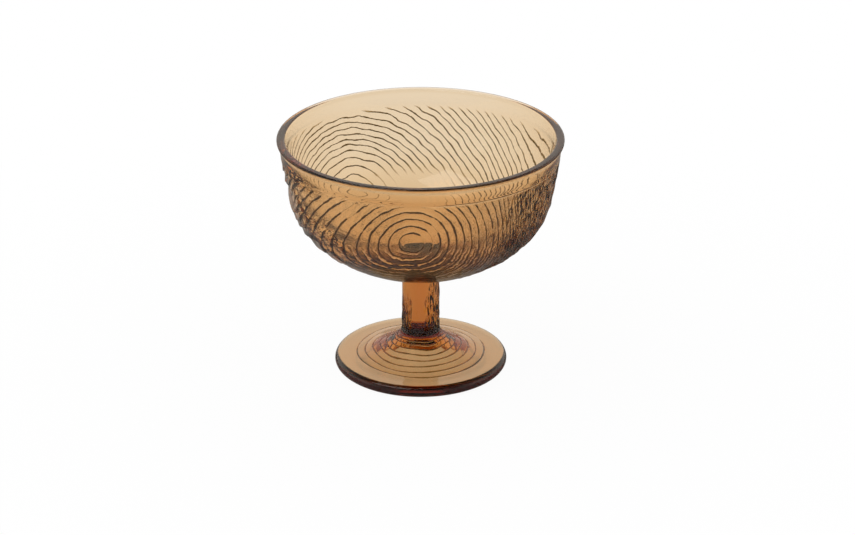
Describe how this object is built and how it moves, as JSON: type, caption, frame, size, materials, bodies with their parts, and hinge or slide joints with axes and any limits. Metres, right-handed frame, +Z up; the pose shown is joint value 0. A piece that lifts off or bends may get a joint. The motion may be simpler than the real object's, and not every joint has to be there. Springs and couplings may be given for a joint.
{
  "type": "ice cream glass",
  "caption": "Footed ice cream glass in pressed amber glass: wide rounded bowl with wood-grain relief and a plain rim, solid stem and ringed trumpet foot.",
  "frame": {"origin": "on the axis of the glass, at the level of the table it stands on", "axes": "+Z up along the common axis of foot, stem and bowl; +X to the right as seen from the pictured side, which is -Y"},
  "size_m": [0.1156, 0.1156, 0.1],
  "materials": {
    "amber_glass": "clear amber glass, fire polished, with wood-grain relief pressed into the outside"
  },
  "bodies": {
    "root": {"bowl": "amber_glass", "stem": "amber_glass", "foot": "amber_glass"}
  },
  "joints": []
}
